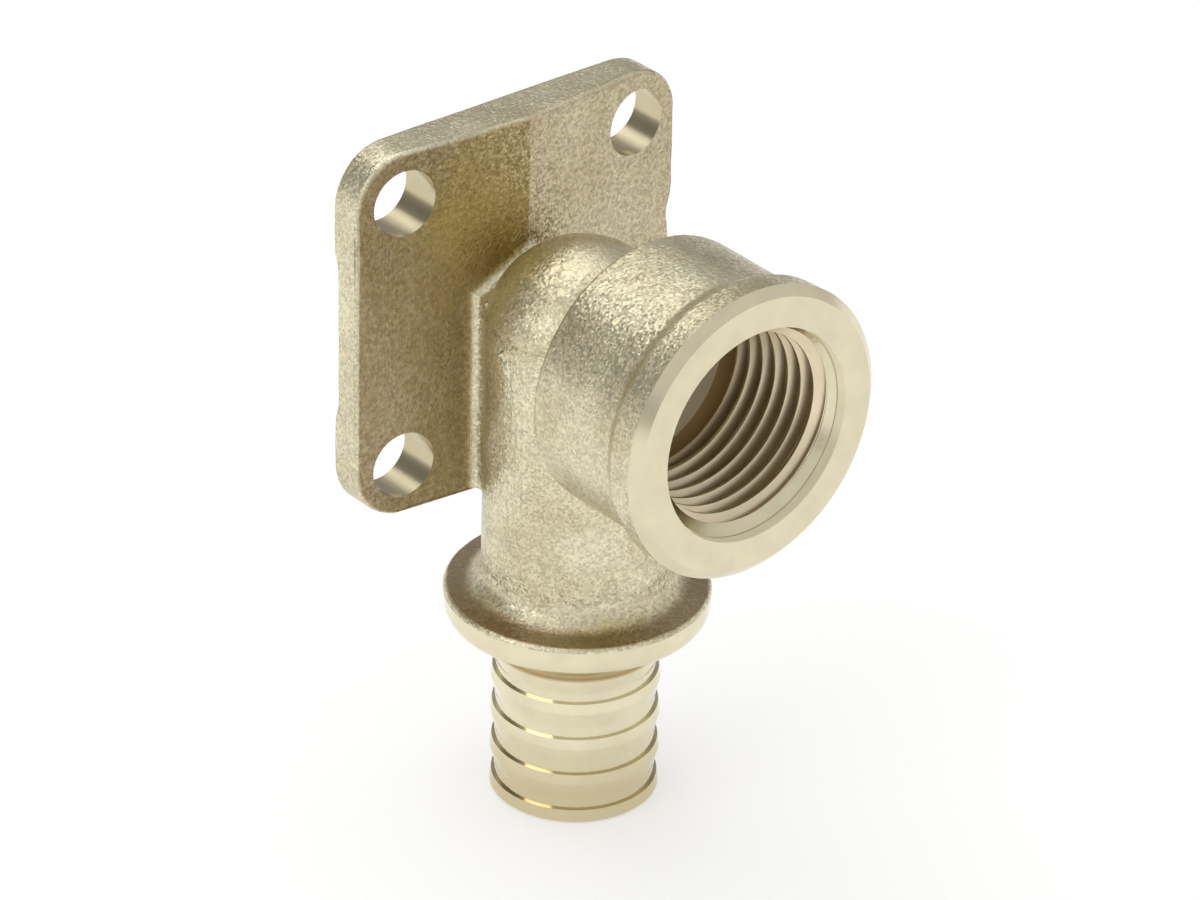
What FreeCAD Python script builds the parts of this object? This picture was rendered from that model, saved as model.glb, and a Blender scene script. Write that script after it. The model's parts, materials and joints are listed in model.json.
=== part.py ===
import FreeCAD, Part
import math
import os

# Wall plate elbow: one hot-forged brass piece, turned, drilled and bored afterwards.
# Origin on the wall plane, on the socket axis. X across, Y into the wall, Z up, in millimetres.

# Wall plate
plate_width = 38.6
plate_height = 38.6
plate_corner_radius = 5.5
ridge_thickness = 5.4
front_slope = 5.0
front_edge_radius = 0.5
back_edge_radius = 0.5

# Shallow band across the back, between the upper and the lower wall pad
relief_depth = 0.85
relief_floor_height = 14.6
relief_run_out = 2.8
relief_blend_radius = 3.0

# Screw holes
screw_hole_diameter = 6.8
screw_to_side_edge = 5.3
screw_to_top_edge = 5.3

# Pillar with its domed top, and the concave web that joins it to the plate
pillar_axis_to_wall = 13.6
pillar_radius = 9.35
pillar_top_z = 1.7
pillar_top_edge_radius = 0.15
dome_radius = 9.3
web_radius = 1.1
web_peak_z = 6.7
web_shoulder_z = 2.8

# Collar above the spigot
neck_blend_radius = 2.5
collar_radius = 13.05
collar_top_z = -26.8
collar_top_fall = 0.6
collar_rim_radius = 0.5
collar_rim_height = 2.8
collar_rim_draft = 0.2
collar_under_radius = 1.5
collar_under_height = 2.6
collar_root_radius = 2.0

# Spigot with saw-tooth ribs that hold the pipe
spigot_radius = 8.28
spigot_end_z = -50.0
rib_depth = 0.61
rib_ledge = 0.45
rib_lead = 1.05
rib_valley = 0.3
rib_pitch = 4.0
rib_count = 4
last_rib_height = 1.5
first_land_end_z = -34.1
end_chamfer = 0.35

# Socket barrel with its thicker mouth ring
barrel_radius = 13.7
barrel_back_y = -23.2
barrel_back_radius = 0.6
barrel_back_cone = 52.0
barrel_back_core = 7.0
ring_radius = 14.75
ring_start_y = -34.0
ring_rise = 1.4
ring_blend_radius = 1.2
ring_draft = 0.1
face_y = -39.0
mouth_chamfer_length = 0.85
mouth_chamfer_height = 0.95

# Socket bore, at the crest diameter of the half-inch parallel pipe thread
thread_crest_diameter = 18.631
entry_diameter = 21.5
entry_depth = 1.05
lead_in_diameter = 21.2
lead_in_length = 2.6
socket_depth = 16.0

# Waterway
waterway_diameter = 12.5
drill_point_angle = 118.0

# Cutting tools run this far past the skin they leave
overrun = 1.0

Vector = FreeCAD.Vector
X_AXIS = Vector(1, 0, 0)
Y_AXIS = Vector(0, 1, 0)
Z_AXIS = Vector(0, 0, 1)
ORIGIN = Vector(0, 0, 0)
screw_spacing_x = plate_width - 2 * screw_to_side_edge
screw_spacing_z = plate_height - 2 * screw_to_top_edge
pillar_axis_y = -pillar_axis_to_wall
socket_bottom_y = face_y + socket_depth


def rounded_face(corners, place):
    """A face from (u, v, radius) corners; a corner with a radius becomes a tangent arc."""
    points = [Vector(u, v, 0) for u, v, _ in corners]
    count = len(corners)
    edges = []
    starts = []
    ends = []
    middles = []
    for i, (_, _, radius) in enumerate(corners):
        here = points[i]
        before = (points[i - 1] - here).normalize()
        after = (points[(i + 1) % count] - here).normalize()
        if radius == 0:
            starts.append(here)
            ends.append(here)
            middles.append(None)
            continue
        half = before.getAngle(after) / 2
        reach = radius / math.tan(half)
        inward = (before + after).normalize()
        starts.append(here + before * reach)
        ends.append(here + after * reach)
        middles.append(here + inward * (radius / math.sin(half) - radius))
    for i in range(count):
        if middles[i] is not None:
            edges.append(Part.Arc(place(starts[i]), place(middles[i]), place(ends[i])).toShape())
        leave = ends[i]
        arrive = starts[(i + 1) % count]
        if (arrive - leave).Length > 1e-7:
            edges.append(Part.makeLine(place(leave), place(arrive)))
    return Part.Face(Part.Wire(edges))


def in_front_plane(p):
    """(u, v) as X and Z on the wall plane."""
    return Vector(p.x, 0, p.y)


def in_level_plane(p):
    """(u, v) as X and Y at the height of the socket axis."""
    return Vector(p.x, p.y, 0)


def in_side_plane(p):
    """(u, v) as Y and Z on the middle plane."""
    return Vector(0, p.x, p.y)


def beside_pillar_axis(p):
    """(u, v) as radius and Z of something turned about the spigot axis."""
    return Vector(p.x, pillar_axis_y, p.y)


def beside_socket_axis(p):
    """(u, v) as radius and Y of something turned about the socket axis."""
    return Vector(p.x, p.y, 0)


def turned_on_pillar(corners):
    face = rounded_face(corners, beside_pillar_axis)
    return face.revolve(Vector(0, pillar_axis_y, 0), Z_AXIS, 360)


def turned_on_socket(corners):
    face = rounded_face(corners, beside_socket_axis)
    return face.revolve(ORIGIN, Y_AXIS, 360)


def front_y(x):
    """The plate's front: a shallow roof that falls from the ridge to both side edges."""
    return -ridge_thickness + abs(x) * math.tan(math.radians(front_slope))


def edges_where(shape, test):
    return [edge for edge in shape.Edges if test(edge.valueAt((edge.FirstParameter + edge.LastParameter) / 2))]


def half_plate():
    """The half of the plate at +X, with its edges rounded; the ridge lies on the middle plane."""
    half_width = plate_width / 2
    half_height = plate_height / 2
    outline = rounded_face(
        [
            (0, -half_height, 0),
            (half_width, -half_height, plate_corner_radius),
            (half_width, half_height, plate_corner_radius),
            (0, half_height, 0),
        ],
        in_front_plane,
    )
    blank = outline.extrude(Vector(0, -ridge_thickness - overrun, 0))
    wedge = rounded_face(
        [(0, overrun, 0), (0, front_y(0), 0), (plate_width, front_y(plate_width), 0), (plate_width, overrun, 0)],
        in_level_plane,
    )
    wedge.translate(Vector(0, 0, -plate_height))
    plate = blank.common(wedge.extrude(Vector(0, 0, 2 * plate_height)))
    floor = relief_floor_height / 2
    mouth = floor + relief_run_out
    slope = relief_run_out / relief_depth
    band = rounded_face(
        [
            (-relief_depth, -floor, relief_blend_radius),
            (-relief_depth, floor, relief_blend_radius),
            (overrun, mouth + overrun * slope, 0),
            (overrun, -mouth - overrun * slope, 0),
        ],
        in_side_plane,
    )
    plate = plate.cut(band.extrude(Vector(plate_width, 0, 0)))
    margin = 0.01

    def on_front_rim(p):
        return p.x > margin and abs(p.y - front_y(p.x)) < margin

    plate = plate.makeFillet(front_edge_radius, edges_where(plate, on_front_rim))

    def on_pad_rim(p):
        return p.x > margin and abs(p.y) < margin and abs(p.z) > mouth + margin

    return plate.makeFillet(back_edge_radius, edges_where(plate, on_pad_rim))


def wall_plate():
    half = half_plate()
    return half.fuse(half.mirror(ORIGIN, X_AXIS)).removeSplitter()


def web():
    """Concave blend of pillar and plate: upright beside the pillar, then straight to the ridge above the dome."""
    slope = math.radians(front_slope)
    off_plate = Vector(math.sin(slope), -math.cos(slope), 0)
    # The blend circle touches the pillar from outside and the sloped front from before it.
    rise = web_radius / math.cos(slope)
    gap = pillar_axis_y + ridge_thickness + rise
    reach = pillar_radius + web_radius
    a = 1 + math.tan(slope) ** 2
    b = -2 * gap * math.tan(slope)
    c = gap**2 - reach**2
    centre_x = (-b + math.sqrt(b * b - 4 * a * c)) / (2 * a)
    centre = Vector(centre_x, front_y(centre_x) - rise, 0)
    axis = Vector(0, pillar_axis_y, 0)
    on_pillar = axis + (centre - axis).normalize() * pillar_radius
    on_plate = centre - off_plate * web_radius
    towards = (on_pillar - centre).normalize() + (on_plate - centre).normalize()
    middle = centre + towards.normalize() * web_radius
    in_pillar = (axis + on_pillar) * 0.5
    depth = -relief_depth - front_edge_radius
    start = Vector(0, in_pillar.y, 0)
    inside = Vector(on_plate.x, depth, 0)
    end = Vector(0, depth, 0)
    upright_face = Part.Face(
        Part.Wire(
            [
                Part.makeLine(start, in_pillar),
                Part.makeLine(in_pillar, on_pillar),
                Part.Arc(on_pillar, middle, on_plate).toShape(),
                Part.makeLine(on_plate, inside),
                Part.makeLine(inside, end),
                Part.makeLine(end, start),
            ]
        )
    )
    bottom_z = -plate_height / 2 + front_edge_radius
    upright_face.translate(Vector(0, 0, bottom_z))
    upright = upright_face.extrude(Vector(0, 0, web_peak_z - bottom_z))
    # Over the dome the blend runs in a straight line down the sloped front.
    peak = Vector(0, -ridge_thickness, web_peak_z)
    shoulder = Vector(on_plate.x, on_plate.y, web_shoulder_z)
    along = (shoulder - peak).normalize()
    away = off_plate.cross(along)
    arc_centre = peak + off_plate * web_radius
    arc_middle = arc_centre - (off_plate + away).normalize() * web_radius
    arc_end = arc_centre - away * web_radius
    tall = arc_end + off_plate * pillar_radius
    below = peak - off_plate * (ridge_thickness + depth)
    across = away * (2 * plate_height)
    slant_face = Part.Face(
        Part.Wire(
            [
                Part.Arc(peak, arc_middle, arc_end).toShape(),
                Part.makeLine(arc_end, tall),
                Part.makeLine(tall, tall - across),
                Part.makeLine(tall - across, below - across),
                Part.makeLine(below - across, below),
                Part.makeLine(below, peak),
            ]
        )
    )
    slant_face.translate(along * -plate_width)
    slant = slant_face.extrude(along * (3 * plate_width))
    half = upright.common(slant)
    return half.fuse(half.mirror(ORIGIN, X_AXIS)).removeSplitter()


def pillar():
    """Pillar, collar and ribbed spigot, turned about the spigot axis, with the dome on top."""
    rim_top_z = collar_top_z - collar_top_fall
    rim_bottom_z = rim_top_z - collar_rim_height
    root_radius = spigot_radius - rib_depth
    corners = [
        (0, pillar_top_z, 0),
        (pillar_radius, pillar_top_z, pillar_top_edge_radius),
        (pillar_radius, collar_top_z, neck_blend_radius),
        (collar_radius, rim_top_z, collar_rim_radius),
        (collar_radius - collar_rim_draft, rim_bottom_z, collar_under_radius),
        (spigot_radius, rim_bottom_z - collar_under_height, collar_root_radius),
        (spigot_radius, first_land_end_z, 0),
    ]
    first_shoulder_z = spigot_end_z + last_rib_height + rib_pitch * (rib_count - 1)
    for i in range(rib_count):
        shoulder_z = first_shoulder_z - i * rib_pitch
        corners.append((root_radius, shoulder_z + rib_valley, 0))
        corners.append((root_radius, shoulder_z, 0))
        corners.append((root_radius + rib_ledge, shoulder_z, 0))
        corners.append((spigot_radius, shoulder_z - rib_lead, 0))
    corners.append((spigot_radius, spigot_end_z + end_chamfer, 0))
    corners.append((spigot_radius - end_chamfer, spigot_end_z, 0))
    corners.append((0, spigot_end_z, 0))
    dome = Part.makeSphere(dome_radius, Vector(0, pillar_axis_y, 0))
    return turned_on_pillar(corners).fuse(dome)


def barrel():
    """Socket barrel: conical back, plain middle, and the forged ring with its turned mouth chamfer."""
    core_y = barrel_back_y + (barrel_radius - barrel_back_core) / math.tan(math.radians(barrel_back_cone))
    return turned_on_socket(
        [
            (0, core_y, 0),
            (barrel_back_core, core_y, 0),
            (barrel_radius, barrel_back_y, barrel_back_radius),
            (barrel_radius, ring_start_y, ring_blend_radius),
            (ring_radius - ring_draft, ring_start_y - ring_rise, ring_blend_radius),
            (ring_radius, face_y + mouth_chamfer_length, 0),
            (ring_radius - mouth_chamfer_height, face_y, 0),
            (0, face_y, 0),
        ]
    )


def socket_bore():
    """Entry step, lead-in cone and the bore that carries the thread."""
    return turned_on_socket(
        [
            (0, face_y - overrun, 0),
            (entry_diameter / 2, face_y - overrun, 0),
            (entry_diameter / 2, face_y + entry_depth, 0),
            (lead_in_diameter / 2, face_y + entry_depth, 0),
            (thread_crest_diameter / 2, face_y + entry_depth + lead_in_length, 0),
            (thread_crest_diameter / 2, socket_bottom_y, 0),
            (0, socket_bottom_y, 0),
        ]
    )


def waterway():
    """Two drilled holes that meet under the dome, each with its drill point."""
    radius = waterway_diameter / 2
    point = radius / math.tan(math.radians(drill_point_angle / 2))
    upright = turned_on_pillar(
        [(0, point, 0), (radius, 0, 0), (radius, spigot_end_z - overrun, 0), (0, spigot_end_z - overrun, 0)]
    )
    level = turned_on_socket(
        [
            (0, pillar_axis_y + point, 0),
            (radius, pillar_axis_y, 0),
            (radius, socket_bottom_y - overrun, 0),
            (0, socket_bottom_y - overrun, 0),
        ]
    )
    return [upright, level]


def screw_holes():
    holes = []
    for x in (-screw_spacing_x / 2, screw_spacing_x / 2):
        for z in (-screw_spacing_z / 2, screw_spacing_z / 2):
            start = Vector(x, overrun, z)
            length = ridge_thickness + 2 * overrun
            holes.append(Part.makeCylinder(screw_hole_diameter / 2, length, start, -Y_AXIS))
    return holes


elbow = wall_plate().fuse([web(), pillar(), barrel()]).removeSplitter()
elbow = elbow.cut([socket_bore()] + waterway() + screw_holes())
elbow_body = elbow.removeSplitter().Solids[0]

os.makedirs("parts", exist_ok=True)
elbow_body.exportStep("parts/elbow_body.step")
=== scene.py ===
import json
import math

import bmesh
import bpy
import numpy as np
from mathutils import Matrix, Vector, noise


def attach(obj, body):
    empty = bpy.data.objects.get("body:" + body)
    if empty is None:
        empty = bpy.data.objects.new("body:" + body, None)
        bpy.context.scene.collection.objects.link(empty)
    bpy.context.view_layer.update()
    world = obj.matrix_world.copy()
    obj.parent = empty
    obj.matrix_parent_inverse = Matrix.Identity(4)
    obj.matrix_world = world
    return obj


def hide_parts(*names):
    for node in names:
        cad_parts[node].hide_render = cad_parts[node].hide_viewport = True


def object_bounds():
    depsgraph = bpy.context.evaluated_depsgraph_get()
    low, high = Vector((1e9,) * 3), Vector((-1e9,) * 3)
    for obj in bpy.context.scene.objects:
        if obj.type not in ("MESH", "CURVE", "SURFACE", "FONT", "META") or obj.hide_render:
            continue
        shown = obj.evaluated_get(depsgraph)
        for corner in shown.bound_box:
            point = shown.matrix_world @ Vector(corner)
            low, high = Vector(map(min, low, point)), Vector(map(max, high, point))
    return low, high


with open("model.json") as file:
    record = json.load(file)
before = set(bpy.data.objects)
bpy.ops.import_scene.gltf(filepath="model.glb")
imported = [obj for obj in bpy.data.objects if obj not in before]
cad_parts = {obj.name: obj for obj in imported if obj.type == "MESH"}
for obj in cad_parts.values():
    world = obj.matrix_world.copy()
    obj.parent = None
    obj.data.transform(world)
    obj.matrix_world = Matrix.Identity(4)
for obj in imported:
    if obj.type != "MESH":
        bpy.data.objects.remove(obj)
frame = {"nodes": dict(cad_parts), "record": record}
cad_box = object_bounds()

MM = 0.001
# Sockets of a Mix node that mixes colours
MIX_SHARE, MIX_FIRST, MIX_SECOND, MIX_RESULT = 0, 6, 7, 2

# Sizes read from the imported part, in millimetres
mounts = {mount["name"]: mount for mount in frame["record"]["mounts"]}
crest_radius = mounts["socket_thread"]["dims"]["r_mm"]
screw_hole_radius = mounts["wall_screws"]["dims"]["hole_r_mm"]
screw_reach = mounts["wall_screws"]["dims"]["spacing_x_mm"] / 2
spigot_axis_y = mounts["spigot"]["pos_m"][1] / MM
face_y = cad_box[0].y / MM
floor_z = cad_box[0].z / MM

# Half-inch parallel pipe thread, right-handed
thread_pitch = 1.814
thread_depth = 1.162
thread_flank_angle = 27.5
thread_root_rounding = 0.25
first_crest_depth = 3.0
thread_end_depth = 14.3
thread_run_out = 0.6
thread_stub = 0.15
# Turns of the tap in front of the first crest, and how finely it is drawn
thread_lead_turns, thread_steps_per_turn, thread_rounding_steps = 2.5, 120, 4

# Turned corners that lie elsewhere than in the CAD: the lead-in's end and the ribs' roots
lead_in_radius, lead_in_start_depth = 10.6, 1.05
lead_in_end_depth, fine_lead_in_end_depth = 3.65, 2.45
rib_count, rib_pitch, last_rib_height = 4, 4.0, 1.5
rib_shoulders = [floor_z + last_rib_height + rib_pitch * i for i in range(rib_count)]
rib_root_radius, fine_rib_root_radius = 7.67, 7.86
valley_height, fine_valley_height = 0.3, 0.16
corner_reach = 0.02

# Where machined faces lie
rim_turned_z = -27.95
mouth_turned_y = face_y + 0.86
entry_wall_end_y = mouth_turned_y + 0.3
entry_floor_y = face_y + 1.5
bore_mouth_radius = 10.8
socket_front_of_y = -20
socket_bottom_y = face_y + 16.0
waterway_radius = 6.3
waterway_from_y, waterway_to_y = -25, -13
plate_behind_y = -9
# The mouth's edge is broken: its wall's normals lean forward by this share
entry_lean = 1.2

# Finishes, in the order of the piece's material slots
FORGED, TURNED, FACED, BORE, DRILLED, ENTRY, BOTTOM = range(7)

# Forged skin: size, height and start of its slow waves, and how far it is drawn in
skin_waves = [(4.5, 0.07, (0, 0, 0)), (1.7, 0.035, (7, 3, 1))]
skin_drawn_in = 0.05
# Largest faces of the skin and of its marks, and how many times its reach a mark is drawn fine and shaped
skin_face_area = 0.2
mark_face_area = 0.012
mark_fine_reach, mark_full_reach = 2.2, 2.5
# Marks that the dies left: centre, reach, height and size of their grain
die_marks = [
    ((-9.34, -13.26, 0.5), 0.36, 0.7, 0.3),
    ((-9.35, -13.43, -0.3), 0.36, 0.6, 0.3),
    ((-9.35, -13.75, -1.1), 0.36, 0.5, 0.3),
    ((-7.4, -7.2, 4.0), 0.8, 0.45, 0.35),
    ((-5.6, -7.4, 5.3), 0.5, 0.22, 0.6),
    ((2.9, -22.5, -25.3), 1.3, 0.16, 0.7),
    ((3.6, -22.2, -26.6), 1.0, 0.16, 0.6),
]
# The plate's right edge falls back between these heights, and has a dip
edge_fall, edge_fall_top, edge_fall_bottom, edge_fall_run = 0.3, 5.8, -11.0, 3.0
edge_dip, edge_dip_z, edge_dip_reach = 0.3, 2.8, 1.2
edge_from_x, edge_run = 17.2, 1.2
edge_fine_from_x, edge_behind_y = 17, -8
edge_step = 1.0

# Points nearer than this, in metres, are one, and edges sharper than this, in degrees, are not smoothed
weld_distance, sharp_angle = 1e-6, 35

# Patterns of the finishes, by their real sizes
dent_size, dent_depth = 0.3, 0.055
grain_size, grain_tilt = 0.24, 0.25
blotch_size, stain_size = 0.5, 7.0
turned_cloud_size, turned_cloud_tone, turning_mark_depth = 3.0, 0.9, 0.004
# Brown painted shade: on what faces the front at the plate's depth, and on what faces up at the collar's height
painted_shade_facing, painted_shade_plate_y, painted_shade_collar_z = (0.75, 0.95), (-9, -8), (-25.5, -26.3)
painted_shade_share, painted_shade_more_on_left, painted_shade_mottle = 0.5, 0.25, (0.75, 1.35)
plate_ridge_blur = 0.3
# Gold tint: its middle, how far it is full and reaches, how ragged its edge is, and its share
gold_tint_centre = (-5, -5, 11)
gold_tint_full_reach, gold_tint_end_reach, gold_tint_ragged, gold_tint_share = 9, 19, 14, 0.6
shade_band_share = 0.85
# Bands of painted shade on turned faces: start, middle and end along the axis, and colour
# Under the collar, painted golden reflection and shade in the corner; towards the end, painted shade where the
# ribs mirror the part's shadow on the table
spigot_shade_bands = [(-34.1, -33.55, -31.6, "#A07E3C"), (-58.0, -47.0, -40.5, "#D0C19C")]
# Painted brown shade deep in the bore, where the thread runs out
bore_shade_bands = [(-25.8, -24.8, -21.0, "#8A6C4A")]

# The room that the metal mirrors: plain grey, then azimuth, elevation, spread and change of tone
room_grey = 0.74
room_tones = [(-145, 22, 34, -0.5), (130, 20, 54, -0.38), (-37, 6, 12, -0.3)]
# The point that the lights face
light_aim = (0, -20, -10)
# The table: half its width in metres, its glow and the shares of it that the camera and mirrors see
floor_reach = 4.0
table_glow, table_glow_seen, table_glow_mirrored = 1.4, 0.3, 0.3

# The photograph's view
view_azimuth = -39.995
view_elevation = 29.456
view_roll = 1.262
view_distance = 625.9
view_aim = (-1.939, -18.878, -9.891)
view_lens = 198.66


def linear(hex_colour):
    """An sRGB hex colour as linear RGBA."""
    channels = [int(hex_colour[i:i + 2], 16) / 255 for i in (1, 3, 5)]
    return [c / 12.92 if c <= 0.04045 else ((c + 0.055) / 1.055) ** 2.4 for c in channels] + [1.0]


def add_node(tree, kind, inputs=None, **settings):
    """Adds one node; an input is a socket to link or a value to set."""
    made = tree.nodes.new(kind)
    for name, value in settings.items():
        setattr(made, name, value)
    for key, value in (inputs or {}).items():
        if isinstance(value, bpy.types.NodeSocket):
            tree.links.new(value, made.inputs[key])
        else:
            made.inputs[key].default_value = value
    return made


def new_material(name):
    material = bpy.data.materials.new(name)
    material.use_nodes = True
    material.node_tree.nodes.clear()
    return material, material.node_tree


def shot_blasted_brass():
    """Hot-forged brass, shot-blasted: a dull beige skin of shallow dents that glint one by one."""
    material, tree = new_material("shot_blasted_brass_forging")
    coordinates = add_node(tree, "ShaderNodeTexCoord").outputs
    place = coordinates["Object"]
    x, y, z = add_node(tree, "ShaderNodeSeparateXYZ", {"Vector": place}).outputs
    _, facing_y, facing_z = add_node(tree, "ShaderNodeSeparateXYZ", {"Vector": coordinates["Normal"]}).outputs
    dents = add_node(
        tree,
        "ShaderNodeTexNoise",
        {"Vector": place, "Scale": 1 / (dent_size * MM), "Detail": 2.0},
    )
    bump = add_node(
        tree,
        "ShaderNodeBump",
        {"Height": dents.outputs["Fac"], "Strength": 1.0, "Distance": dent_depth * MM},
    )
    # Each grain of the skin is a facet with a tilt and a tone of its own
    grain = add_node(tree, "ShaderNodeTexVoronoi", {"Vector": place, "Scale": 1 / (grain_size * MM)})
    swing = add_node(
        tree,
        "ShaderNodeVectorMath",
        {0: grain.outputs["Color"], 1: (0.5, 0.5, 0.5)},
        operation="SUBTRACT",
    )
    tilted = add_node(
        tree,
        "ShaderNodeVectorMath",
        {0: swing.outputs["Vector"], 1: [grain_tilt] * 3, 2: bump.outputs["Normal"]},
        operation="MULTIPLY_ADD",
    )
    normal = add_node(tree, "ShaderNodeVectorMath", {0: tilted.outputs["Vector"]}, operation="NORMALIZE")
    shade = add_node(tree, "ShaderNodeSeparateColor", {"Color": grain.outputs["Color"]})
    speckle = add_node(tree, "ShaderNodeValToRGB", {"Fac": shade.outputs["Red"]})
    speckle.color_ramp.elements[0].color = linear("#CFCFCF")
    speckle.color_ramp.elements[1].color = linear("#FFFFFF")
    stain = add_node(
        tree,
        "ShaderNodeTexNoise",
        {"Vector": place, "Scale": 1 / (stain_size * MM), "Detail": 4.0},
    )
    tint = add_node(tree, "ShaderNodeValToRGB", {"Fac": stain.outputs["Fac"]})
    tint.color_ramp.elements[0].position = 0.35
    tint.color_ramp.elements[0].color = linear("#E0D5B1")
    tint.color_ramp.elements[1].position = 0.65
    tint.color_ramp.elements[1].color = linear("#F4ECCB")
    # Brown painted shade, finely mottled, on the plate's front, where it mirrors the shaded back of the pillar
    # and barrel, and deeper on its left half
    left = add_node(
        tree,
        "ShaderNodeMapRange",
        {"Value": x, "From Min": plate_ridge_blur * MM, "From Max": -plate_ridge_blur * MM},
    )
    front = add_node(
        tree,
        "ShaderNodeMapRange",
        {"Value": facing_y, "From Min": -painted_shade_facing[0], "From Max": -painted_shade_facing[1]},
    )
    behind = add_node(
        tree,
        "ShaderNodeMapRange",
        {"Value": y, "From Min": painted_shade_plate_y[0] * MM, "From Max": painted_shade_plate_y[1] * MM},
    )
    plate = add_node(
        tree,
        "ShaderNodeMath",
        {0: front.outputs["Result"], 1: behind.outputs["Result"]},
        operation="MULTIPLY",
    )
    deeper = add_node(
        tree,
        "ShaderNodeMath",
        {0: left.outputs["Result"], 1: painted_shade_more_on_left, 2: painted_shade_share},
        operation="MULTIPLY_ADD",
    )
    blotch = add_node(
        tree,
        "ShaderNodeTexNoise",
        {"Vector": place, "Scale": 1 / (blotch_size * MM), "Detail": 3.0},
    )
    uneven = add_node(
        tree,
        "ShaderNodeMapRange",
        {
            "Value": blotch.outputs["Fac"],
            "From Min": 0.35,
            "From Max": 0.65,
            "To Min": painted_shade_mottle[0],
            "To Max": painted_shade_mottle[1],
        },
    )
    mottled = add_node(
        tree,
        "ShaderNodeMath",
        {0: deeper.outputs["Value"], 1: uneven.outputs["Result"]},
        operation="MULTIPLY",
    )
    on_plate = add_node(
        tree,
        "ShaderNodeMath",
        {0: plate.outputs["Value"], 1: mottled.outputs["Value"]},
        operation="MULTIPLY",
    )
    # and painted shade on the top of the collar, where the plate and pillar block what it mirrors
    upward = add_node(
        tree,
        "ShaderNodeMapRange",
        {"Value": facing_z, "From Min": painted_shade_facing[0], "From Max": painted_shade_facing[1]},
    )
    low = add_node(
        tree,
        "ShaderNodeMapRange",
        {"Value": z, "From Min": painted_shade_collar_z[0] * MM, "From Max": painted_shade_collar_z[1] * MM},
    )
    # How much painted shade each face gets: the collar's top, and the plate's front
    shade_amount = add_node(
        tree,
        "ShaderNodeMath",
        {0: upward.outputs["Result"], 1: low.outputs["Result"], 2: on_plate.outputs["Value"]},
        operation="MULTIPLY_ADD",
    )
    painted_shade = add_node(
        tree,
        "ShaderNodeMix",
        {MIX_SHARE: shade_amount.outputs["Value"], MIX_FIRST: tint.outputs["Color"], MIX_SECOND: linear("#B4A07E")},
        data_type="RGBA",
    )
    # Gold tint on the left half of the plate, strongest above the dome
    away = add_node(
        tree,
        "ShaderNodeVectorMath",
        {0: place, 1: [c * MM for c in gold_tint_centre]},
        operation="DISTANCE",
    )
    ragged = add_node(
        tree,
        "ShaderNodeMath",
        {0: stain.outputs["Fac"], 1: gold_tint_ragged * MM, 2: away.outputs["Value"]},
        operation="MULTIPLY_ADD",
    )
    near = add_node(
        tree,
        "ShaderNodeMapRange",
        {
            "Value": ragged.outputs["Value"],
            "From Min": gold_tint_full_reach * MM,
            "From Max": gold_tint_end_reach * MM,
            "To Min": gold_tint_share,
            "To Max": 0.0,
        },
        interpolation_type="SMOOTHSTEP",
    )
    leftward = add_node(
        tree,
        "ShaderNodeMath",
        {0: plate.outputs["Value"], 1: left.outputs["Result"]},
        operation="MULTIPLY",
    )
    share = add_node(
        tree,
        "ShaderNodeMath",
        {0: near.outputs["Result"], 1: leftward.outputs["Value"]},
        operation="MULTIPLY",
    )
    gold = add_node(
        tree,
        "ShaderNodeMix",
        {
            MIX_SHARE: share.outputs["Value"],
            MIX_FIRST: painted_shade.outputs[MIX_RESULT],
            MIX_SECOND: linear("#D6C281"),
        },
        data_type="RGBA",
    )
    skin = add_node(
        tree,
        "ShaderNodeMix",
        {MIX_SHARE: 1.0, MIX_FIRST: gold.outputs[MIX_RESULT], MIX_SECOND: speckle.outputs["Color"]},
        data_type="RGBA",
        blend_type="MULTIPLY",
    )
    shader = add_node(
        tree,
        "ShaderNodeBsdfPrincipled",
        {
            "Base Color": skin.outputs[MIX_RESULT],
            "Metallic": 1.0,
            "Roughness": 0.36,
            "Normal": normal.outputs["Vector"],
        },
    )
    add_node(tree, "ShaderNodeOutputMaterial", {"Surface": shader.outputs["BSDF"]})
    return material


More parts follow.
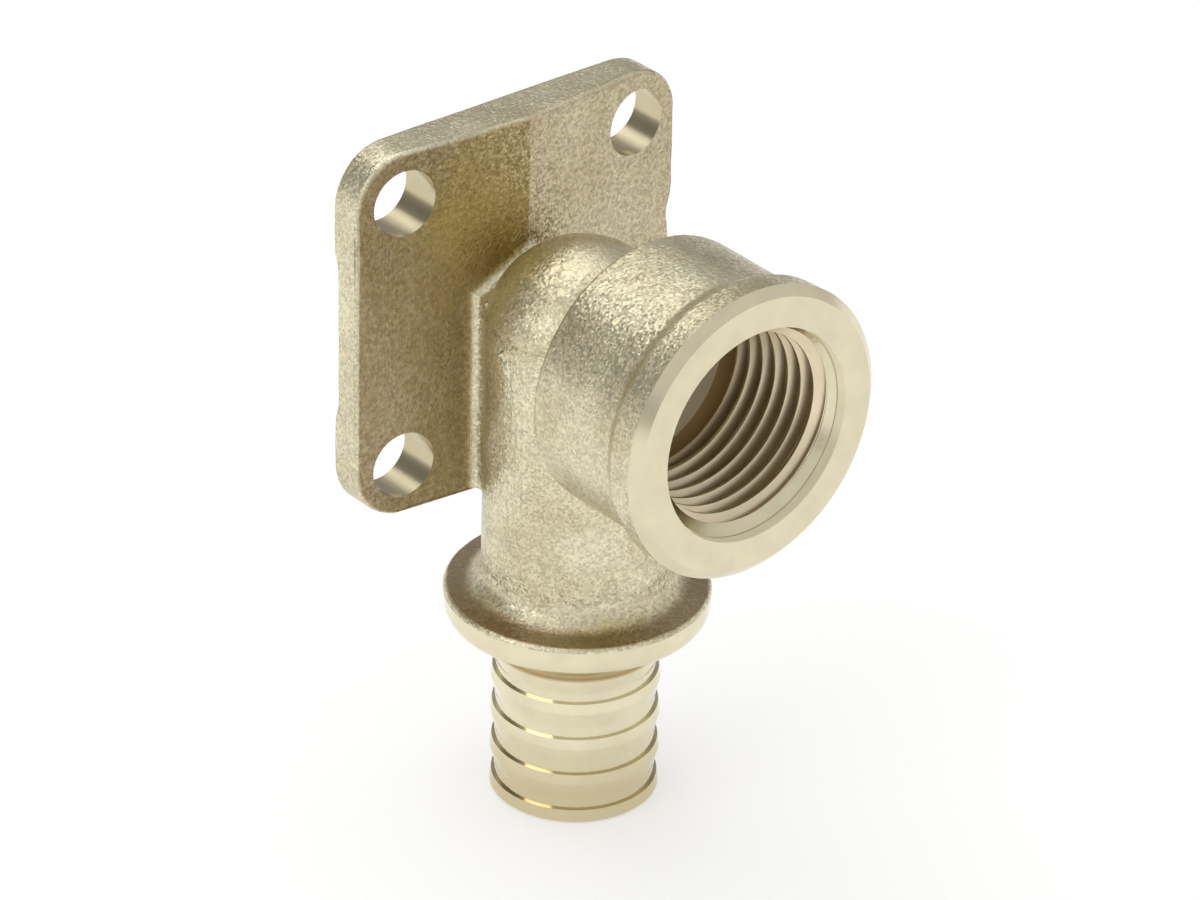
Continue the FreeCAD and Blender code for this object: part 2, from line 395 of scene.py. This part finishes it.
def turned_brass(name, colour, roughness, mark_width, axis, centre, shade_bands=(), metallic=1.0):
    """Brass cut on a lathe: pale and smooth, with fine rings round the axis and bands of painted shade along
    it.
    """
    material, tree = new_material(name)
    place = add_node(tree, "ShaderNodeTexCoord").outputs["Object"]
    moved = add_node(tree, "ShaderNodeMapping", {"Vector": place, "Location": [-c * MM for c in centre]})
    across = [0.0 if a == axis else 1.0 for a in "XYZ"]
    flat = add_node(tree, "ShaderNodeVectorMath", {0: moved.outputs["Vector"], 1: across}, operation="MULTIPLY")
    radius = add_node(tree, "ShaderNodeVectorMath", {0: flat.outputs["Vector"]}, operation="LENGTH")
    along = add_node(tree, "ShaderNodeSeparateXYZ", {"Vector": moved.outputs["Vector"]}).outputs[axis]
    # Rings run along the axis on a cylinder and outward on a face
    reach = add_node(tree, "ShaderNodeMath", {0: radius.outputs["Value"], 1: along}, operation="ADD")
    rings = add_node(
        tree,
        "ShaderNodeMath",
        {0: reach.outputs["Value"], 1: 1 / (mark_width * MM)},
        operation="MULTIPLY",
    )
    marks = add_node(
        tree,
        "ShaderNodeTexNoise",
        {"W": rings.outputs["Value"], "Scale": 1.0},
        noise_dimensions="1D",
    )
    bump = add_node(
        tree,
        "ShaderNodeBump",
        {"Height": marks.outputs["Fac"], "Strength": 1.0, "Distance": turning_mark_depth * MM},
    )
    cloud = add_node(
        tree,
        "ShaderNodeTexNoise",
        {"Vector": place, "Scale": 1 / (turned_cloud_size * MM), "Detail": 3.0},
    )
    base = add_node(tree, "ShaderNodeValToRGB", {"Fac": cloud.outputs["Fac"]})
    base.color_ramp.elements[0].position = 0.3
    base.color_ramp.elements[0].color = [c * turned_cloud_tone for c in linear(colour)]
    base.color_ramp.elements[1].position = 0.7
    base.color_ramp.elements[1].color = linear(colour)
    skin = base.outputs["Color"]
    # Each band mixes in a darker colour along the axis as painted shade
    for start, middle, end, shade_colour in shade_bands:
        rising = add_node(
            tree,
            "ShaderNodeMapRange",
            {"Value": along, "From Min": start * MM, "From Max": middle * MM, "To Max": shade_band_share},
            interpolation_type="SMOOTHSTEP",
        )
        falling = add_node(
            tree,
            "ShaderNodeMapRange",
            {"Value": along, "From Min": end * MM, "From Max": middle * MM},
        )
        share = add_node(
            tree,
            "ShaderNodeMath",
            {0: rising.outputs["Result"], 1: falling.outputs["Result"]},
            operation="MULTIPLY",
        )
        band_shaded = add_node(
            tree,
            "ShaderNodeMix",
            {MIX_SHARE: share.outputs["Value"], MIX_FIRST: skin, MIX_SECOND: linear(shade_colour)},
            data_type="RGBA",
        )
        skin = band_shaded.outputs[MIX_RESULT]
    shader = add_node(
        tree,
        "ShaderNodeBsdfPrincipled",
        {
            "Base Color": skin,
            "Metallic": metallic,
            "Roughness": roughness,
            "Normal": bump.outputs["Normal"],
        },
    )
    add_node(tree, "ShaderNodeOutputMaterial", {"Surface": shader.outputs["BSDF"]})
    return material


def thread_tap():
    """The helical ridge that a tap cuts away; its sizes are inputs of a Geometry Nodes tree."""
    slope = math.tan(math.radians(thread_flank_angle))
    start_depth = first_crest_depth - thread_lead_turns * thread_pitch
    travel = thread_end_depth - start_depth
    sizes = {
        "Bore radius": crest_radius * MM,
        "Travel": travel * MM,
        "Turns": travel / thread_pitch,
        "Ridge height": (thread_depth + thread_stub) * MM,
        "Ridge foot": (thread_pitch / 2 + (thread_depth + 2 * thread_stub) * slope) * MM,
        "Ridge top": (thread_pitch / 2 - thread_depth * slope) * MM,
        "Top rounding": thread_root_rounding * MM,
        "Fade starts": 1 - thread_run_out * thread_pitch / travel,
    }
    tree = bpy.data.node_groups.new("thread_tap", "GeometryNodeTree")
    ids = {}
    for name in sizes:
        ids[name] = tree.interface.new_socket(name, in_out="INPUT", socket_type="NodeSocketFloat").identifier
    tree.interface.new_socket("Geometry", in_out="OUTPUT", socket_type="NodeSocketGeometry")
    given = add_node(tree, "NodeGroupInput").outputs
    helix = add_node(
        tree,
        "GeometryNodeCurveSpiral",
        {
            "Resolution": thread_steps_per_turn,
            "Rotations": given["Turns"],
            "Start Radius": given["Bore radius"],
            "End Radius": given["Bore radius"],
            "Height": given["Travel"],
            "Reverse": True,
        },
    )
    level = add_node(tree, "GeometryNodeSetCurveNormal", {"Curve": helix.outputs["Curve"]}, mode="Z_UP")
    ridge = add_node(
        tree,
        "GeometryNodeCurvePrimitiveQuadrilateral",
        {
            "Height": given["Ridge height"],
            "Bottom Width": given["Ridge foot"],
            "Top Width": given["Ridge top"],
            "Offset": 0.0,
        },
        mode="TRAPEZOID",
    )
    spot = add_node(tree, "GeometryNodeInputPosition").outputs["Position"]
    height = add_node(tree, "ShaderNodeSeparateXYZ", {"Vector": spot}).outputs["Y"]
    on_top = add_node(tree, "ShaderNodeMath", {0: height, 1: 0.0}, operation="GREATER_THAN").outputs["Value"]
    radius = add_node(tree, "ShaderNodeMath", {0: on_top, 1: given["Top rounding"]}, operation="MULTIPLY")
    rounded = add_node(
        tree,
        "GeometryNodeFilletCurve",
        {
            "Curve": ridge.outputs["Curve"],
            "Count": thread_rounding_steps,
            "Radius": radius.outputs["Value"],
            "Limit Radius": True,
        },
        mode="POLY",
    )
    outward = add_node(
        tree,
        "GeometryNodeTransform",
        {
            "Geometry": rounded.outputs["Curve"],
            "Rotation": (0, 0, -math.pi / 2),
            "Translation": ((thread_depth - thread_stub) / 2 * MM, 0, 0),
        },
    )
    way = add_node(tree, "GeometryNodeSplineParameter").outputs["Factor"]
    fade = add_node(
        tree,
        "ShaderNodeMapRange",
        {"Value": way, "From Min": given["Fade starts"], "From Max": 1.0, "To Min": 1.0, "To Max": 0.1},
    )
    swept = add_node(
        tree,
        "GeometryNodeCurveToMesh",
        {
            "Curve": level.outputs["Curve"],
            "Profile Curve": outward.outputs["Geometry"],
            "Scale": fade.outputs["Result"],
            "Fill Caps": True,
        },
    )
    placed = add_node(
        tree,
        "GeometryNodeTransform",
        {
            "Geometry": swept.outputs["Mesh"],
            "Rotation": (-math.pi / 2, 0, 0),
            "Translation": (0, (face_y + start_depth) * MM, 0),
        },
    )
    real = add_node(tree, "GeometryNodeRealizeInstances", {"Geometry": placed.outputs["Geometry"]})
    coated = add_node(
        tree, "GeometryNodeSetMaterial", {"Geometry": real.outputs["Geometry"], "Material": finishes[BORE]}
    )
    add_node(tree, "NodeGroupOutput", {0: coated.outputs["Geometry"]})
    tap = bpy.data.objects.new("thread_tap", bpy.data.meshes.new("thread_tap"))
    bpy.context.collection.objects.link(tap)
    modifier = tap.modifiers.new("thread_tap", "NODES")
    modifier.node_group = tree
    for name, value in sizes.items():
        modifier[ids[name]] = value
    tap.data = evaluated_mesh(tap)
    tap.modifiers.clear()
    return tap


def evaluated_mesh(thing):
    return bpy.data.meshes.new_from_object(thing.evaluated_get(bpy.context.evaluated_depsgraph_get()))


def tapped_copy():
    """A welded copy of the CAD node with its socket tapped; each corner keeps the CAD surface's normal."""
    mesh = frame["nodes"]["elbow_body"].data.copy()
    normals = np.empty(len(mesh.loops) * 3, np.float32)
    mesh.corner_normals.foreach_get("vector", normals)
    draw_in(mesh, normals.reshape(-1, 3, 3))
    mesh.attributes.new("surface_normal", "FLOAT_VECTOR", "CORNER").data.foreach_set("vector", normals)
    weld(mesh)
    body = bpy.data.objects.new("elbow", mesh)
    bpy.context.collection.objects.link(body)
    tap = thread_tap()
    cut = body.modifiers.new("tapping", "BOOLEAN")
    cut.operation = "DIFFERENCE"
    cut.solver = "EXACT"
    cut.object = tap
    body.data = evaluated_mesh(body)
    body.modifiers.clear()
    bpy.data.objects.remove(tap)
    return body


def draw_in(mesh, normals):
    """Moves turned corners to where the real cuts lie, and turns the normals of the faces beside them."""
    points = np.empty(len(mesh.vertices) * 3, np.float32)
    mesh.vertices.foreach_get("co", points)
    points = points.reshape(-1, 3).astype(float) / MM
    faces = np.empty(len(mesh.loops), np.int32)
    mesh.loops.foreach_get("vertex_index", faces)
    faces = faces.reshape(-1, 3)
    depth, reach = points[:, 1] - face_y, np.hypot(points[:, 0], points[:, 2])
    way = (depth - lead_in_start_depth) / (lead_in_end_depth - lead_in_start_depth)
    off_cone = np.abs(reach - lead_in_radius + way * (lead_in_radius - crest_radius))
    cone = (way > -0.01) & (way < 1.01) & (off_cone < corner_reach)
    points[cone, 1] -= way[cone] * (lead_in_end_depth - fine_lead_in_end_depth)
    turn_normals(points, faces, normals, cone, 1, np.zeros(3))
    spigot = np.array((0, spigot_axis_y, 0))
    for z in rib_shoulders:
        for height, new_height in ((0, 0), (valley_height, fine_valley_height)):
            out = (points - spigot) * (1, 1, 0)
            reach = np.linalg.norm(out, axis=1)
            off_ring = np.maximum(np.abs(reach - rib_root_radius), np.abs(points[:, 2] - z - height))
            ring = off_ring < corner_reach
            points[ring] += out[ring] * (fine_rib_root_radius / rib_root_radius - 1)
            points[ring, 2] = z + new_height
            turn_normals(points, faces, normals, ring, 2, spigot)
    mesh.vertices.foreach_set("co", (points * MM).astype(np.float32).reshape(-1))


def turn_normals(points, faces, normals, moved, axis, centre):
    """Gives the faces at moved points the normals of a surface turned round the axis."""
    beside = moved[faces].any(axis=1)
    facing = unit(face_normals(points, faces[beside]))
    out = points[faces[beside]] - centre
    out[:, :, axis] = 0
    out = unit(out)
    side = np.sign(np.einsum("fk,fk->f", facing, out.mean(axis=1)))
    normals[beside] = out * (side * np.sqrt(np.maximum(1 - facing[:, axis] ** 2, 0)))[:, None, None]
    normals[beside, :, axis] = facing[:, axis][:, None]


def weld(mesh, triangles=False):
    work = bmesh.new()
    work.from_mesh(mesh)
    bmesh.ops.remove_doubles(work, verts=work.verts, dist=weld_distance)
    bmesh.ops.dissolve_degenerate(work, edges=work.edges, dist=weld_distance)
    if triangles:
        bmesh.ops.triangulate(work, faces=work.faces)
    work.to_mesh(mesh)
    work.free()


def unit(vectors):
    return vectors / np.maximum(np.linalg.norm(vectors, axis=-1, keepdims=True), 1e-12)


def refined(points, faces, normals, kinds):
    """Halves the longest edges of large forged faces, and of long ones on the plate's right edge.

    New points lie on the surface that the normals tell of.
    """
    while True:
        sides = np.stack([faces, np.roll(faces, -1, axis=1)], axis=2)
        keys, index = np.unique(sides.min(axis=2) * len(points) + sides.max(axis=2), return_inverse=True)
        index = index.reshape(-1, 3)
        edges = np.stack([keys // len(points), keys % len(points)], axis=1)
        lengths = np.linalg.norm(points[edges[:, 0]] - points[edges[:, 1]], axis=1)
        middles = points[faces].mean(axis=1)
        largest = np.full(len(faces), skin_face_area)
        for centre, reach, _, _ in die_marks:
            marked = np.linalg.norm(middles - centre, axis=1) < mark_fine_reach * reach
            largest[marked] = mark_face_area
        wide = np.linalg.norm(face_normals(points, faces), axis=1) / 2 > largest
        on_edge = (middles[:, 0] > edge_fine_from_x) & (middles[:, 1] > edge_behind_y)
        long = on_edge & (lengths[index].max(axis=1) > edge_step)
        large = np.flatnonzero((kinds == FORGED) & (wide | long))
        split = np.zeros(len(edges), bool)
        split[index[large, lengths[index[large]].argmax(axis=1)]] = True
        if not split.any():
            return points, faces, normals, kinds
        mid_normals = unit(normals + np.roll(normals, -1, axis=1))
        run = points[sides[:, :, 1]] - points[sides[:, :, 0]]
        half = np.linalg.norm(run, axis=2) / 2
        turn = np.einsum("fsk,fsk->fs", unit(run), np.roll(normals, -1, axis=1) - normals)
        rise = half * np.tan(np.arcsin(np.clip(turn / 2, -0.7, 0.7)) / 2)
        order = np.argsort(index.reshape(-1), kind="stable").reshape(-1, 2)
        normal_a, normal_b = (mid_normals.reshape(-1, 3)[order[:, k]] for k in range(2))
        rise_a, rise_b = (rise.reshape(-1)[order[:, k]] for k in range(2))
        same = np.einsum("ek,ek->e", normal_a, normal_b)
        crease = (same < 0.98) & (same > -0.9)
        spread = np.where(crease, 1 - same ** 2, 1.0)
        share_a = np.where(crease, (rise_a - same * rise_b) / spread, (rise_a + rise_b) / 4)
        share_b = np.where(crease, (rise_b - same * rise_a) / spread, (rise_a + rise_b) / 4)
        middle = (points[edges[:, 0]] + points[edges[:, 1]]) / 2
        middle += share_a[:, None] * normal_a + share_b[:, None] * normal_b
        number = np.full(len(edges), -1)
        number[split] = len(points) + np.arange(split.sum())
        points = np.concatenate([points, middle[split]])
        mids = number[index]
        count = (mids >= 0).sum(axis=1)
        first = np.select(
            [count == 1, count == 2],
            [(mids >= 0).argmax(axis=1), (mids < 0).argmax(axis=1) + 1],
            0,
        )
        turned = (first[:, None] + np.arange(3)) % 3
        ids = np.concatenate([np.take_along_axis(part, turned, 1) for part in (faces, mids)], axis=1)
        turned = turned[:, :, None]
        ids_n = np.concatenate([np.take_along_axis(part, turned, 1) for part in (normals, mid_normals)], axis=1)
        patterns = {
            0: [(0, 1, 2)],
            1: [(0, 3, 2), (3, 1, 2)],
            2: [(3, 1, 4), (0, 3, 4), (0, 4, 2)],
            3: [(0, 3, 5), (3, 1, 4), (5, 4, 2), (3, 4, 5)],
        }
        new_faces, new_normals, new_kinds = [], [], []
        for marked, pattern in patterns.items():
            here = count == marked
            for trio in pattern:
                new_faces.append(ids[here][:, trio])
                new_normals.append(ids_n[here][:, trio])
                new_kinds.append(kinds[here])
        faces, normals, kinds = (np.concatenate(part) for part in (new_faces, new_normals, new_kinds))


def face_normals(points, faces):
    a, b, c = (points[faces[:, k]] for k in range(3))
    return np.cross(b - a, c - a)


def face_kinds(centres, normals):
    """Which finish each face has, by where it lies in millimetres and which way it faces."""
    x, y, z = centres.T
    socket = np.hypot(x, z)
    pillar = np.hypot(x, y - spigot_axis_y)
    hole = np.hypot(np.abs(x) - screw_reach, np.abs(z) - screw_reach)
    back = normals[:, 1]
    wall = np.abs(back) < 0.5
    kinds = np.full(len(centres), FORGED)
    kinds[z < rim_turned_z] = TURNED
    kinds[y < mouth_turned_y] = FACED
    kinds[(y > plate_behind_y) & (hole < screw_hole_radius + corner_reach) & wall] = DRILLED
    kinds[(y < entry_floor_y) & (socket < bore_mouth_radius)] = FACED
    inward = (x * normals[:, 0] + z * normals[:, 2]) < 0.1 * socket
    inside = (y < socket_front_of_y) & (socket < bore_mouth_radius) & inward & (back > -0.999)
    kinds[inside] = BORE
    kinds[inside & (y < face_y + fine_lead_in_end_depth) & (back > -0.8) & (back < -0.55)] = FACED
    kinds[inside & (y < entry_wall_end_y) & wall] = ENTRY
    kinds[(np.abs(y - socket_bottom_y) < 0.05) & (back < -0.9)] = BOTTOM
    upright = (pillar < waterway_radius) & (np.abs(normals[:, 2]) < 0.2)
    level = (socket < waterway_radius) & (y > waterway_from_y) & (y < waterway_to_y)
    kinds[upright | level] = BORE
    return kinds


def forged_skin(points):
    """How far the forging's skin stands off the plain form: slow waves, all inward, and the dies' marks."""
    depth = np.zeros(len(points))
    for i, p in enumerate(points):
        spot = Vector(p)
        depth[i] = sum(height * noise.noise(spot / size + Vector(start)) for size, height, start in skin_waves)
    for centre, reach, height, grain in die_marks:
        away = np.linalg.norm(points - centre, axis=1)
        for i in np.flatnonzero(away < mark_full_reach * reach):
            swell = math.exp(-((away[i] / reach) ** 2))
            depth[i] += height * swell * (0.4 + 1.2 * noise.noise(Vector(points[i]) / grain))
    return depth - skin_drawn_in


def edge_shift(points):
    """How far the plate's right edge lies further in than the left one."""
    x, y, z = points.T
    below_top = np.clip((edge_fall_top - z) / edge_fall_run, 0, 1)
    fall = below_top * np.clip((z - edge_fall_bottom) / edge_fall_run, 0, 1)
    dip = np.exp(-(((z - edge_dip_z) / edge_dip_reach) ** 2))
    share = np.clip((x - edge_from_x) / edge_run, 0, 1) * (y > edge_behind_y)
    return -(edge_fall * fall + edge_dip * dip) * share


def dressed_elbow():
    """The tapped body with its forged skin, its edge and its finishes, as one mesh."""
    body = tapped_copy()
    mesh = body.data
    weld(mesh, triangles=True)
    if "custom_normal" in mesh.attributes:
        mesh.attributes.remove(mesh.attributes["custom_normal"])
    mesh.set_sharp_from_angle(angle=math.radians(sharp_angle))
    points = np.empty(len(mesh.vertices) * 3)
    mesh.vertices.foreach_get("co", points)
    points = points.reshape(-1, 3) / MM
    faces = np.empty(len(mesh.loops), np.int32)
    mesh.loops.foreach_get("vertex_index", faces)
    faces = faces.reshape(-1, 3).astype(np.int64)
    drawn = np.empty(len(mesh.loops) * 3, np.float32)
    mesh.corner_normals.foreach_get("vector", drawn)
    normals = np.empty(len(mesh.loops) * 3, np.float32)
    mesh.attributes["surface_normal"].data.foreach_get("vector", normals)
    drawn, normals = drawn.reshape(-1, 3, 3), normals.reshape(-1, 3, 3)
    unknown = np.linalg.norm(normals, axis=2) < 0.5
    normals = unit(np.where(unknown[:, :, None], drawn, normals))
    kinds = face_kinds(points[faces].mean(axis=1), unit(face_normals(points, faces)))
    normals[kinds == ENTRY] = unit(normals[kinds == ENTRY] + (0, -entry_lean, 0))
    points, faces, normals, kinds = refined(points, faces, normals, kinds)
    skin = np.zeros(len(points), bool)
    skin[faces[kinds == FORGED]] = True
    skin[faces[kinds != FORGED]] = False
    plain = face_normals(points, faces)
    outward = np.zeros_like(points)
    np.add.at(outward, faces.reshape(-1), normals.reshape(-1, 3))
    moved = points.copy()
    moved[skin] += unit(outward[skin]) * forged_skin(points[skin])[:, None]
    moved[skin, 0] += edge_shift(points[skin])
    moved = np.clip(moved, np.array(cad_box[0]) / MM, np.array(cad_box[1]) / MM)
    bent = face_normals(moved, faces)
    change, weight = np.zeros_like(points), np.zeros(len(points))
    size = np.linalg.norm(plain, axis=1)
    for k in range(3):
        np.add.at(change, faces[:, k], (unit(bent) - unit(plain)) * size[:, None])
        np.add.at(weight, faces[:, k], size)
    normals = unit(normals + (change / np.maximum(weight, 1e-12)[:, None])[faces])
    dressed = bpy.data.meshes.new("elbow")
    dressed.from_pydata((moved * MM).tolist(), [], faces.tolist())
    for material in finishes:
        dressed.materials.append(material)
    dressed.polygons.foreach_set("material_index", kinds.astype(np.int32))
    dressed.normals_split_custom_set(normals.reshape(-1, 3).tolist())
    body.data = dressed
    return body


def camera():
    """The photograph's camera, fitted to points on the part."""
    azimuth, elevation, roll = (math.radians(a) for a in (view_azimuth, view_elevation, view_roll))
    back = Vector((
        math.sin(azimuth) * math.cos(elevation),
        -math.cos(azimuth) * math.cos(elevation),
        math.sin(elevation),
    ))
    level = Vector((math.cos(azimuth), math.sin(azimuth), 0.0))
    upright = back.cross(level)
    right = math.cos(roll) * level + math.sin(roll) * upright
    up = back.cross(right)
    data = bpy.data.cameras.new("camera")
    data.lens = view_lens
    made = bpy.data.objects.new("camera", data)
    turn = Matrix((right, up, back)).transposed().to_4x4()
    place = Matrix.Translation((Vector(view_aim) + back * view_distance) * MM)
    made.matrix_world = place @ turn
    data.clip_start = 0.05
    bpy.context.collection.objects.link(made)
    bpy.context.scene.camera = made


def softbox(name, azimuth, elevation, distance, width, height, radiance):
    """A soft white light that faces the part; azimuth 0 is in front of the socket."""
    way = direction(azimuth, elevation)
    data = bpy.data.lights.new(name, "AREA")
    data.shape = "RECTANGLE"
    data.size = width
    data.size_y = height
    data.energy = radiance * math.pi * width * height
    made = bpy.data.objects.new(name, data)
    turn = way.to_track_quat("Z", "Y").to_matrix().to_4x4()
    made.matrix_world = Matrix.Translation(Vector(light_aim) * MM + way * distance) @ turn
    bpy.context.collection.objects.link(made)


def direction(azimuth, elevation):
    """A unit vector; azimuth 0 points out of the socket and 90 to the part's right."""
    a, e = math.radians(azimuth), math.radians(elevation)
    return Vector((math.sin(a) * math.cos(e), -math.cos(a) * math.cos(e), math.sin(e)))


def studio():
    """A grey room with three darker parts, a large soft light overhead and a narrow one at the left."""
    world = bpy.data.worlds.new("studio")
    bpy.context.scene.world = world
    world.use_nodes = True
    tree = world.node_tree
    tree.nodes.clear()
    way = add_node(tree, "ShaderNodeTexCoord").outputs["Generated"]
    tone = room_grey
    for azimuth, elevation, spread, change in room_tones:
        toward = add_node(
            tree,
            "ShaderNodeVectorMath",
            {0: way, 1: direction(azimuth, elevation)},
            operation="DOT_PRODUCT",
        )
        lobe = add_node(
            tree,
            "ShaderNodeMapRange",
            {
                "Value": toward.outputs["Value"],
                "From Min": math.cos(math.radians(spread)),
                "From Max": 1.0,
                "To Min": 0.0,
                "To Max": change,
            },
            interpolation_type="SMOOTHSTEP",
        )
        darker = add_node(tree, "ShaderNodeMath", {0: tone, 1: lobe.outputs["Result"]}, operation="ADD")
        tone = darker.outputs["Value"]
    back = add_node(tree, "ShaderNodeBackground", {"Color": linear("#FFFFFF"), "Strength": tone})
    add_node(tree, "ShaderNodeOutputWorld", {"Surface": back.outputs["Background"]})
    softbox("overhead", azimuth=174, elevation=69, distance=0.8, width=0.8, height=0.7, radiance=1.0)
    softbox("left", azimuth=-92, elevation=28, distance=0.9, width=0.6, height=0.16, radiance=2.6)


def floor():
    """A white table that glows a little for the camera and in mirrors, and keeps the part's shadow."""
    mesh = bpy.data.meshes.new("floor")
    z = floor_z * MM
    corners = [(x * floor_reach, y * floor_reach, z) for x, y in ((-1, -1), (1, -1), (1, 1), (-1, 1))]
    mesh.from_pydata(corners, [], [(0, 1, 2, 3)])
    made = bpy.data.objects.new("floor", mesh)
    bpy.context.collection.objects.link(made)
    material, tree = new_material("white_table")
    rays = add_node(tree, "ShaderNodeLightPath").outputs
    seen = add_node(
        tree,
        "ShaderNodeMath",
        {0: rays["Is Camera Ray"], 1: table_glow_seen},
        operation="MULTIPLY",
    )
    share = add_node(
        tree,
        "ShaderNodeMath",
        {0: rays["Is Glossy Ray"], 1: table_glow_mirrored, 2: seen.outputs["Value"]},
        operation="MULTIPLY_ADD",
    )
    plain = add_node(tree, "ShaderNodeBsdfDiffuse", {"Color": linear("#FFFFFF")})
    glow = add_node(tree, "ShaderNodeEmission", {"Color": linear("#FFFFFF"), "Strength": table_glow})
    mixed = add_node(
        tree,
        "ShaderNodeMixShader",
        {"Fac": share.outputs["Value"], 1: plain.outputs["BSDF"], 2: glow.outputs["Emission"]},
    )
    add_node(tree, "ShaderNodeOutputMaterial", {"Surface": mixed.outputs["Shader"]})
    mesh.materials.append(material)


bpy.context.scene.view_settings.view_transform = "Standard"
socket_axis, spigot_axis = (0, 0, 0), (0, spigot_axis_y, 0)
finishes = [
    # Dull beige skin that glints, with brown painted shade on the plate's front and the collar's top, and a
    # gold tint on the plate
    shot_blasted_brass(),
    # Bright ribs that mirror the table, with painted golden reflection and shade under the collar and painted
    # shade towards the end
    turned_brass("turned_brass_spigot", "#E9E1C1", 0.1, 0.09, "Z", spigot_axis, spigot_shade_bands),
    # Pale face and chamfer with a soft shine
    turned_brass("faced_brass_mouth", "#E3DABB", 0.2, 0.09, "Y", socket_axis),
    # Thread flanks that shine on one side, with painted brown shade where the thread runs out
    turned_brass("tapped_brass_bore", "#E9DABA", 0.3, 0.09, "Y", socket_axis, bore_shade_bands),
    # Smooth hole walls with a light and a dark streak, their colour darker than the other turned faces as
    # painted shade in the holes
    turned_brass("drilled_brass_holes", "#CDC1A0", 0.2, 0.12, "Y", socket_axis),
    # Rougher ring at the mouth, light all round
    turned_brass("rough_turned_brass_entry", "#E3DABB", 0.4, 0.12, "Y", socket_axis),
    # Matt, pale end of the socket
    turned_brass("rough_turned_brass_bottom", "#F0E3C2", 0.8, 0.3, "Y", socket_axis, metallic=0.3),
]
elbow = dressed_elbow()
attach(elbow, "root")
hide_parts("elbow_body")
camera()
studio()
floor()
